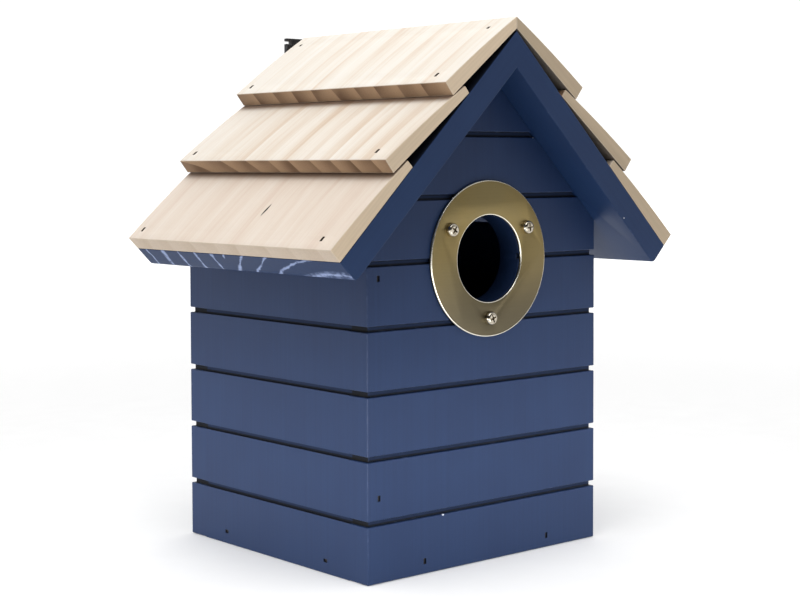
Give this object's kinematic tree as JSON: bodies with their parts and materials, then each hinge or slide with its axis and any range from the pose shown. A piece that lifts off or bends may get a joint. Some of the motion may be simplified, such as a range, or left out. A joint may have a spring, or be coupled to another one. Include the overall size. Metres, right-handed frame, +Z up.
{
  "type": "birdhouse",
  "caption": "Hanging nest box with grooved painted walls, a gabled roof of lapped tapered boards, a round metal-ringed entrance and a swing-out side door.",
  "frame": {"origin": "middle of the flat underside of the box", "axes": "+Z up, -Y out of the entrance, +X towards the side door"},
  "size_m": [0.1708, 0.1319, 0.1995],
  "materials": {
    "painted_wood": "satin navy blue paint over fine-grained wood",
    "bare_pine": "planed, unfinished, pale softwood",
    "brass_plate": "satin aged brass",
    "nickel_screw": "nickel plated",
    "brad_steel": "dull steel",
    "black_steel": "semi-gloss black"
  },
  "bodies": {
    "house": {"front_wall": "painted_wood", "rear_wall": "painted_wood", "left_wall": "painted_wood", "floor_panel": "painted_wood", "left_roof_panel": "painted_wood", "right_roof_panel": "painted_wood", "left_upper_board": "bare_pine", "left_middle_board": "bare_pine", "left_lower_board": "bare_pine", "right_upper_board": "bare_pine", "right_middle_board": "bare_pine", "right_lower_board": "bare_pine", "wall_nails": "brad_steel", "floor_nails": "brad_steel", "left_board_nails": "brad_steel", "right_board_nails": "brad_steel", "left_panel_nails": "brad_steel", "right_panel_nails": "brad_steel", "entrance_plate": "brass_plate", "plate_screws": "nickel_screw", "hanger_plate": "black_steel", "hanger_screws": "black_steel", "button_washer": "nickel_screw", "button_screw": "nickel_screw", "pivot_pins": "brad_steel"},
    "side_door": {"side_door": "painted_wood"},
    "door_button": {"door_button": "black_steel"}
  },
  "joints": [
    {"name": "door_swing", "type": "hinge", "parent": "house", "child": "side_door", "pos_m": [0.0525, 0, 0.112], "axis": [0, -1, 0], "range_deg": [0, 60]},
    {"name": "button_turn", "type": "hinge", "parent": "house", "child": "door_button", "pos_m": [0.0587, -0.04875, 0.033], "axis": [1, 0, 0], "range_deg": [0, 90]}
  ]
}
